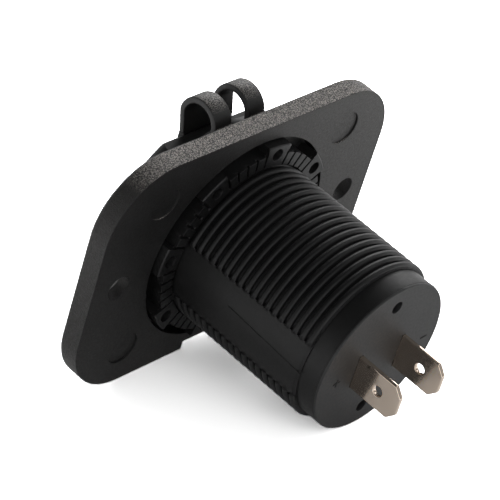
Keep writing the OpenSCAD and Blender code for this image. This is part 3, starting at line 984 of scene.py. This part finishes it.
@dataclass
class Ports:
    """Face plate with the two charging ports behind the cap, in millimetres.

    Args:
        edge: Rounding of the face plate's windows.
        shell_edge: Rounding of the sheet metal shells.
    """

    edge: float = 0.15
    shell_edge: float = 0.05

    def build(self) -> None:
        """Builds the plate and dresses both ports."""
        soft_copy("port_face", "face_plate", FACE_PLASTIC, self.edge)
        for level in ("upper", "lower"):
            names = f"usb_shell_{level}", f"port_shell_{level}"
            soft_copy(*names, SHELL_STEEL, self.shell_edge, steps=1)
            dress_node(f"usb_tongue_{level}", INSULATOR)
            dress_node(f"usb_contacts_{level}", CONTACT_GOLD)
        dress_node("light_guide", CLEAR)


@dataclass
class Converter:
    """Circuit board and the components on it, all closed in by the barrel.

    Args:
        finishes: Finish of each component, by node.
    """

    finishes: tuple[tuple[str, Finish], ...] = (
        ("circuit_board", BOARD),
        ("inductor_core", FERRITE),
        ("inductor_coil", COPPER),
        ("input_capacitor", CAN_ALUMINIUM),
        ("output_capacitor", CAN_ALUMINIUM),
        ("converter_chip", CHIP),
        ("rectifier_diode", CHIP),
        ("status_led", CLEAR),
    )

    def build(self) -> None:
        """Dresses every component as it is packed."""
        for node, finish in self.finishes:
            dress_node(node, finish)


@dataclass(frozen=True)
class Softbox:
    """One rectangular studio light.

    Args:
        name: The light's name.
        towards: Direction from the object to the light.
        distance: How far away it is, in metres.
        size: Width and height in metres.
        radiance: Brightness of its surface, where 1 is white.
    """

    name: str
    towards: Vector
    distance: float
    size: Span
    radiance: float

    def build(self) -> None:
        """Hangs the light and points it at the object."""
        lamp = bpy.data.lights.new(self.name, "AREA")
        lamp.shape = "RECTANGLE"
        lamp.size, lamp.size_y = self.size
        lamp.energy = self.radiance * math.pi * self.size[0] * self.size[1]
        made, away = linked(self.name, lamp), self.towards.normalized()
        made.location = away * self.distance
        made.rotation_euler = (-away).to_track_quat("-Z", "Y").to_euler()


@dataclass
class Studio:
    """Camera, floor, lights and surroundings.

    Args:
        lens_mm: Focal length.
        sensor_mm: Width of the sensor.
        clip: Nearest and farthest that the camera sees, in metres.
        camera_mm: Where the camera is, in the row frame.
        right: Direction of the picture's level axis, in the row frame.
        up: Direction of the picture's upright axis, in the row frame.
        rest_low: Where the panel's lower edge rests, as y and z in millimetres.
        rest_high: Where the rear cover's rim rests, as y and z in millimetres.
        floor_half: Half the floor's width in metres.
        floor_white: How white the floor is: as it spreads light, in reflections and as it is seen.
        floor_near: What the floor gains beside the socket, in reflections and as it is seen.
        floor_far: The same beyond the shadow.
        shadow_middle: Middle of the shadow on the floor, in metres.
        shadow_reach: Distances from there between which one passes into the other, in metres.
        skyline: Heights, of 1 overhead, where the pale backdrop ends and where the ceiling starts.
        sky_light: Brightness of the backdrop and of the ceiling.
        softboxes: The lights.
    """

    lens_mm: float = 202.5
    sensor_mm: float = 36.0
    clip: Span = (0.01, 20.0)
    camera_mm: Vector = Vector((292.58, 198.19, 266.7))
    right: Vector = Vector((-0.68217, 0.68875, 0.24547))
    up: Vector = Vector((-0.30816, -0.57521, 0.75774))
    rest_low: Span = (0.0, -21.7)
    rest_high: Span = (31.8, -13.65)
    floor_half: float = 1.6
    floor_white: Colour = (0.8, 1.65, 7.8)
    floor_near: Span = (0.03, 0.08)
    floor_far: Span = (0.7, 1.0)
    shadow_middle: tuple[float, float, float] = (0.0, 0.015, -0.018)
    shadow_reach: Span = (0.05, 0.11)
    skyline: Span = (0.1, 0.45)
    sky_light: Span = (0.75, 0.05)
    softboxes: tuple[Softbox, ...] = (
        Softbox(
            "far_softbox", towards=Vector((-0.72, -0.56, 0.42)), distance=0.75,
            size=(0.6, 0.3), radiance=3.6,
        ),
        Softbox(
            "near_softbox", towards=Vector((0.30, 0.75, 0.62)), distance=0.9,
            size=(0.8, 0.6), radiance=0.9,
        ),
        Softbox(
            "side_softbox", towards=Vector((-0.6, 0.35, 0.75)), distance=0.8,
            size=(0.45, 0.45), radiance=1.0,
        ),
    )

    def build(self) -> None:
        """Builds the whole studio."""
        self.camera()
        self.floor()
        self.surroundings()
        for softbox in self.softboxes:
            softbox.build()

    def camera(self) -> None:
        """Sets the camera at the photograph's viewing angle."""
        back = self.right.cross(self.up).normalized()
        up = back.cross(self.right.normalized())
        lens = bpy.data.cameras.new("camera")
        lens.lens, lens.sensor_width = self.lens_mm, self.sensor_mm
        lens.clip_start, lens.clip_end = self.clip
        made = linked("camera", lens)
        turn = Matrix((self.right.normalized(), up, back)).transposed().to_4x4()
        made.matrix_world = Matrix.Translation(self.camera_mm * MM) @ turn
        bpy.context.scene.camera = made

    def floor(self) -> None:
        """Lays the pale floor under the two edges that the socket rests on."""
        (low_y, low_z), (high_y, high_z) = self.rest_low, self.rest_high
        slope = math.atan2(high_z - low_z, high_y - low_y)
        form = bmesh.new()
        bmesh.ops.create_grid(form, x_segments=2, y_segments=2, size=self.floor_half / MM)
        place = Matrix.Translation((0, low_y, low_z)) @ Matrix.Rotation(slope, 4, "X")
        bmesh.ops.transform(form, matrix=place, verts=form.verts)
        made = mesh_object("floor", form, self.floor_material())

    def floor_material(self) -> bpy.types.Material:
        """Builds the floor's white, which is clear from below.

        Returns:
            The new material.
        """
        material, graph = new_material("studio_floor")
        seen, glossy = graph.rays()
        mirrored = graph.math("MAXIMUM", seen, glossy)
        place = graph.add("TexCoord").outputs["Object"]
        away = graph.add("VectorMath", {0: place, 1: self.shadow_middle}, operation="DISTANCE")
        beyond = graph.remap(away.outputs["Value"], self.shadow_reach, WHOLE)
        spans = zip(self.floor_near, self.floor_far)
        gains = [graph.remap(beyond, WHOLE, span) for span in spans]
        lifts = [graph.math("MULTIPLY", ray, gain) for ray, gain in zip((mirrored, seen), gains)]
        lift = graph.math("MAXIMUM", *lifts)
        spread, shown, watched = ((value,) * 3 for value in self.floor_white)
        pale = graph.mix(seen, graph.mix(mirrored, spread, shown), watched)
        white = graph.add("BsdfDiffuse", {"Color": pale}).outputs[0]
        glow = graph.add("Emission", {"Strength": lift}).outputs[0]
        lit = graph.add("AddShader", {0: white, 1: glow}).outputs[0]
        below = graph.add("NewGeometry").outputs["Backfacing"]
        clear = graph.add("BsdfTransparent").outputs[0]
        both = graph.add("MixShader", {0: below, 1: lit, 2: clear}).outputs[0]
        graph.add("OutputMaterial", {"Surface": both})
        return material

    def surroundings(self) -> None:
        """Surrounds the socket with a white backdrop low down and a dark ceiling above."""
        world = bpy.data.worlds.new("surroundings")
        bpy.context.scene.world = world
        world.use_nodes = True
        graph = Graph(world.node_tree)
        place = graph.add("TexCoord").outputs["Generated"]
        height = graph.add("SeparateXYZ", {0: place}).outputs["Z"]
        backdrop = graph.remap(height, self.skyline, self.sky_light)
        strength = graph.math("MAXIMUM", backdrop, graph.rays()[0])
        glow = graph.add("Background", {"Color": (1, 1, 1, 1), "Strength": strength})
        graph.add("OutputWorld", {"Surface": glow.outputs[0]})


def main() -> None:
    """Builds the studio and every sub-assembly, in order."""
    logging.basicConfig(level=logging.INFO, format="%(message)s")
    bpy.context.scene.view_settings.view_transform = "Standard"
    Studio().build()
    for part in (Housing(), Terminals(), RubberCap(), Ports(), Converter()):
        LOG.info("building %s", type(part).__name__)
        part.build()


if __name__ == "__main__":
    main()
